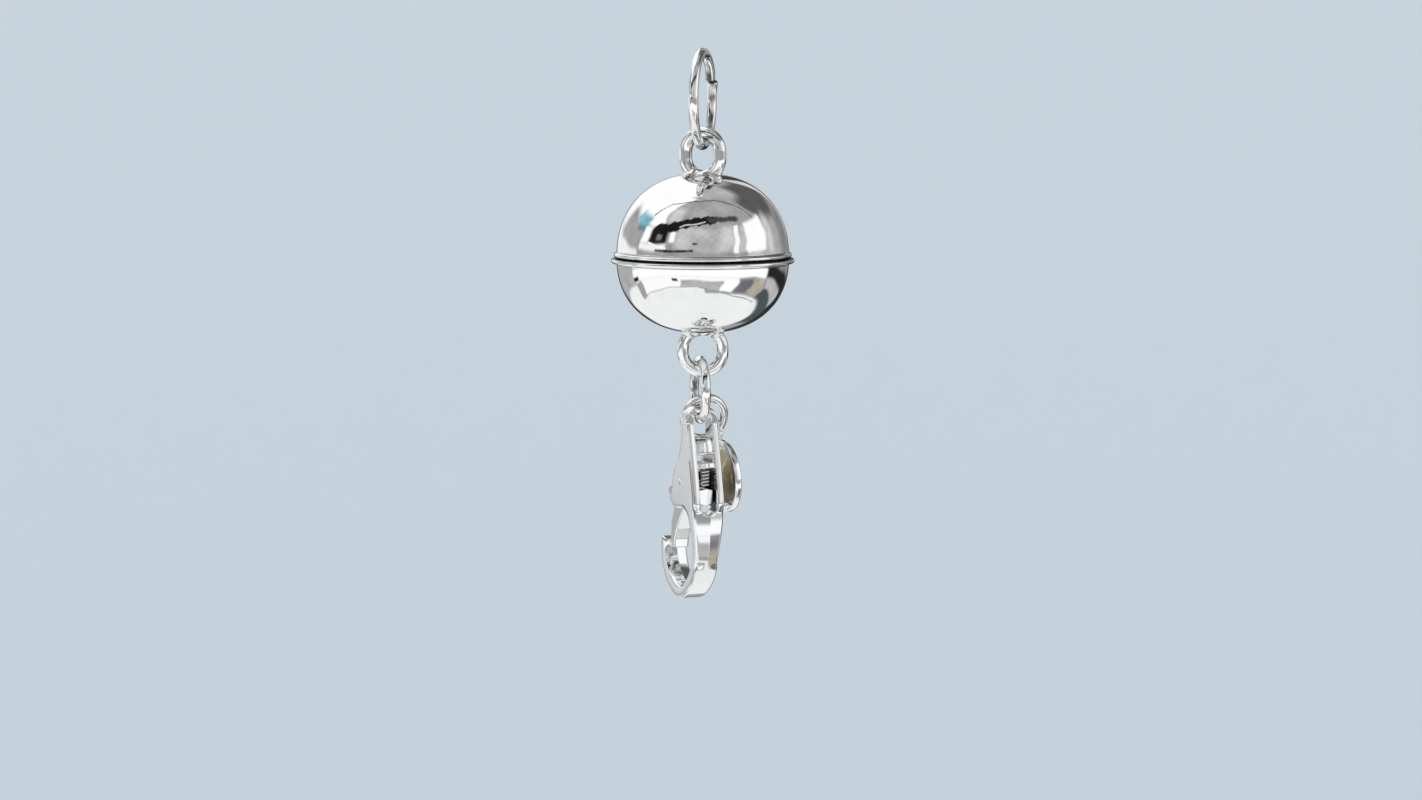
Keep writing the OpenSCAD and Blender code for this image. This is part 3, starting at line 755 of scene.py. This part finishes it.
white, grey, black = 1.0, 0.34, 0.012
tableTop = (0.84, 0.86, 0.85)
softBoxes = [  # from and to azimuth (0 towards the viewer, + right), from and to elevation, soft edge, light
    (-180, 180, -90, 90, 1, grey),
    (-180, -66, 28, 84, 4, white), (-180, -138, 7, 42, 5, white), (-142, -97, 5, 25, 9, 0.36),  # window, upper left
    (-108, -90, 21, 29, 3, (0.1, 0.19, 0.24)), (-120, -92, 25, 38, 4, (0.22, 0.46, 0.56)),
    (-160, -97, -4, 5, 2, 0.85),
    (-92, -80, 10, 27, 2, white), (-78, -52, 11, 31, 2, black), (-68, -60, 15, 22, 2, 0.2),  # corner of the room
    (-48, -40, 13, 27, 2, white),
    (-62, 92, 40, 86, 5, 0.36), (-62, -36, 38, 60, 6, 0.6), (95, 180, 60, 90, 6, 0.42),  # ceiling over the camera
    (98, 164, 20, 58, 6, 0.1), (162, 171, 14, 36, 2, 0.7),
    (-38, 47, 6, 36, 4, 0.5), (-16, 26, 8, 22, 10, 0.4), (24, 47, 10, 36, 8, 0.6),  # wall behind the camera
    (-36, -20, 12, 34, 6, 0.62), (45.5, 53, 4, 37, 1, 0.97), (53, 62, 5, 34, 2, 0.52),
    (63, 100, 1, 35, 3, white), (100, 116, -2, 30, 7, 0.6), (114, 132, -4, 24, 7, 0.38),  # bright strip at its right
    (132, 160, -8, 20, 7, 0.22), (-92, -50, 4, 10, 2, 0.9), (-50, 66, -4, 5, 2, 0.32), (66, 100, -5, 2, 2, 0.5),
    (-112, 96, -18, -6, 2, white), (-98, 50, -34, -17, 2, 0.96), (-160, -112, -20, -6, 3, 0.42),  # white table edge
    (-112, -101, -17, -13, 1, black), (-46, -38, -25, -21, 1, 0.05), (-34, 28, -38, -23, 2, 0.45),
    (-180, 180, -90, -43, 2, tableTop), (-180, 6, -46, -35, 1, tableTop), (-180, -112, -90, -20, 2, tableTop),
    (29, 50, -39, -20, 2, white),
    (53, 74, -40, -21, 3, (0.16, 0.145, 0.19)), (76, 94, -41, -19, 3, (0.42, 0.395, 0.29)),  # coloured things
    (100, 165, -42, -27, 3, (0.07, 0.09, 0.09)), (100, 146, -28, -17, 2, 0.5), (98, 172, -17, -7, 2, 0.02),
    (148, 172, -28, -10, 3, 0.02), (170, 180, 8, 70, 2, 0.05), (-180, -176, 3, 70, 1, 0.3)]
strips = [  # points, half width, soft edge, light
    ([(-69, 28), (-50, 33), (-37, 39), (-14, 46), (5, 48), (18, 49)], 6.4, 1.2, black),  # dark edge of the ceiling
    ([(16, 49), (35, 48), (60, 45)], 4.0, 2.2, 0.06),
    ([(-36, 36), (-28, 40), (-12, 42), (4, 46)], 0.8, 0.7, 0.75),
    ([(-92, 40), (-88, 62), (-60, 80), (20, 85), (75, 80), (88, 62), (91, 38)], 0.7, 0.6, 0.02),
    ([(-66, 5), (-40, 5.5), (-14, 7)], 1.2, 0.8, black), ([(-13, 15), (-8, 15)], 1.0, 0.8, black),
    ([(-80, 11), (-66, 9), (-52, 8)], 0.9, 0.8, white),
    ([(-4, -35), (29, -42), (54, -47), (104, -45)], 0.8, 0.7, 0.3),
    ([(170, -14), (180, -12), (188, -12)], 13, 4, 0.04)]


def bearing(az, el):
    a, e = np.radians(az), np.radians(el)
    return np.stack(np.broadcast_arrays(np.sin(a) * np.cos(e), -np.cos(a) * np.cos(e), np.sin(e)), -1)


def band(low, high, soft, whole, angle):
    if high - low >= whole:
        return 1
    return smoothStep(low - soft, low + soft, angle) * smoothStep(high + soft, high - soft, angle)


tents = {"r": 350, "across": 540, "up": 270, "middle": (0, 0, -14), "broad": 0.16, "small": 0.1, "strength": 1.12}
az = np.linspace(-180, 180, tents["across"], endpoint=False)[None, :]
el = np.linspace(-90, 90, tents["up"])[:, None]
swayAz = az + 2.5 * np.sin(np.radians(el * 7 + 40)) + 1.2 * np.sin(np.radians(el * 17))
swayEl = el + 1.6 * np.sin(np.radians(az * 2.6 + 20)) + 0.6 * np.sin(np.radians(az * 9))
light = np.zeros((tents["up"], tents["across"], 3))
for az0, az1, el0, el1, soft, value in softBoxes:
    share = band(az0, az1, soft, 360, swayAz) * band(el0, el1, soft, 180, swayEl)
    share = np.broadcast_to(share, light.shape[:2])[..., None]
    light = light * (1 - share) + np.broadcast_to(value, 3) * share
facing = bearing(az, el)
ragged = 0.15 * np.sin(np.radians(az * 17 + el * 9)) + 0.1 * np.sin(np.radians(az * 41 - el * 23))
for points, halfWidth, soft, value in strips:
    rows = np.asarray(points, float)
    steps = np.linspace(0, len(rows) - 1, 24 * len(rows))
    along = bearing(*(np.interp(steps, np.arange(len(rows)), rows[:, k]) for k in (0, 1)))
    nearest = (facing.reshape(-1, 3) @ along.T).max(1).reshape(light.shape[:2])
    away = np.degrees(np.arccos(np.clip(nearest, -1, 1))) + halfWidth * ragged
    share = smoothStep(halfWidth + soft, halfWidth - soft, away)[..., None]
    light = light * (1 - share) + value * share
fx, fy, fz = (facing[..., k] for k in range(3))
broad = np.sin(9 * fx + 2) * np.sin(11 * fy + 1) * np.sin(8 * fz + 1)
small = np.sin(31 * fx + 5 * fz) * np.sin(27 * fy + 1) * np.sin(37 * fz + 2)
calm = smoothStep(0.95, 0.6, light.mean(-1))  # white lights stay even
light *= (1 + (tents["broad"] * broad + tents["small"] * small) * calm)[..., None]
tentPoints = tents["r"] * facing.reshape(-1, 3) + tents["middle"]
tent = meshFrom("light_tent", tentPoints, gridFaces(tents["up"], tents["across"], False, True))
colours = tent.data.color_attributes.new("glow", "FLOAT_COLOR", "POINT")
withAlpha = np.concatenate([light, np.ones_like(light[..., :1])], -1)
colours.data.foreach_set("color", withAlpha.astype(np.float32).ravel())
tentMaterial = bpy.data.materials.new("light_tent")
tentMaterial.use_nodes = True
tentMaterial.cycles.emission_sampling = "NONE"
tree = tentMaterial.node_tree
tree.nodes.clear()
glow = tree.nodes.new("ShaderNodeAttribute")
glow.attribute_name = "glow"
shine = tree.nodes.new("ShaderNodeEmission")
shine.inputs["Strength"].default_value = tents["strength"]
final = tree.nodes.new("ShaderNodeOutputMaterial")
tree.links.new(glow.outputs["Color"], shine.inputs["Color"])
tree.links.new(shine.outputs["Emission"], final.inputs["Surface"])
tent.data.materials.append(tentMaterial)
tent.visible_camera = tent.visible_diffuse = tent.visible_shadow = tent.visible_transmission = False

shot = {"aim": (0.455, 0, -18.98), "lens": 123, "sensor": 36, "clip": (0.01, 5), "tilt": 5.7, "far": 270}
camera = bpy.data.cameras.new("camera")
camera.lens, camera.sensor_width = shot["lens"], shot["sensor"]
camera.clip_start, camera.clip_end = shot["clip"]
view = bpy.data.objects.new("camera", camera)
bpy.context.scene.collection.objects.link(view)
tiltDown = math.radians(shot["tilt"])
towards = Vector((0, -math.cos(tiltDown), math.sin(tiltDown)))
view.location = (Vector(shot["aim"]) + towards * shot["far"]) * MM
view.rotation_euler = (math.pi / 2 - tiltDown, 0, 0)
bpy.context.scene.camera = view
bpy.context.scene.view_settings.view_transform = "Standard"

print("studio made")
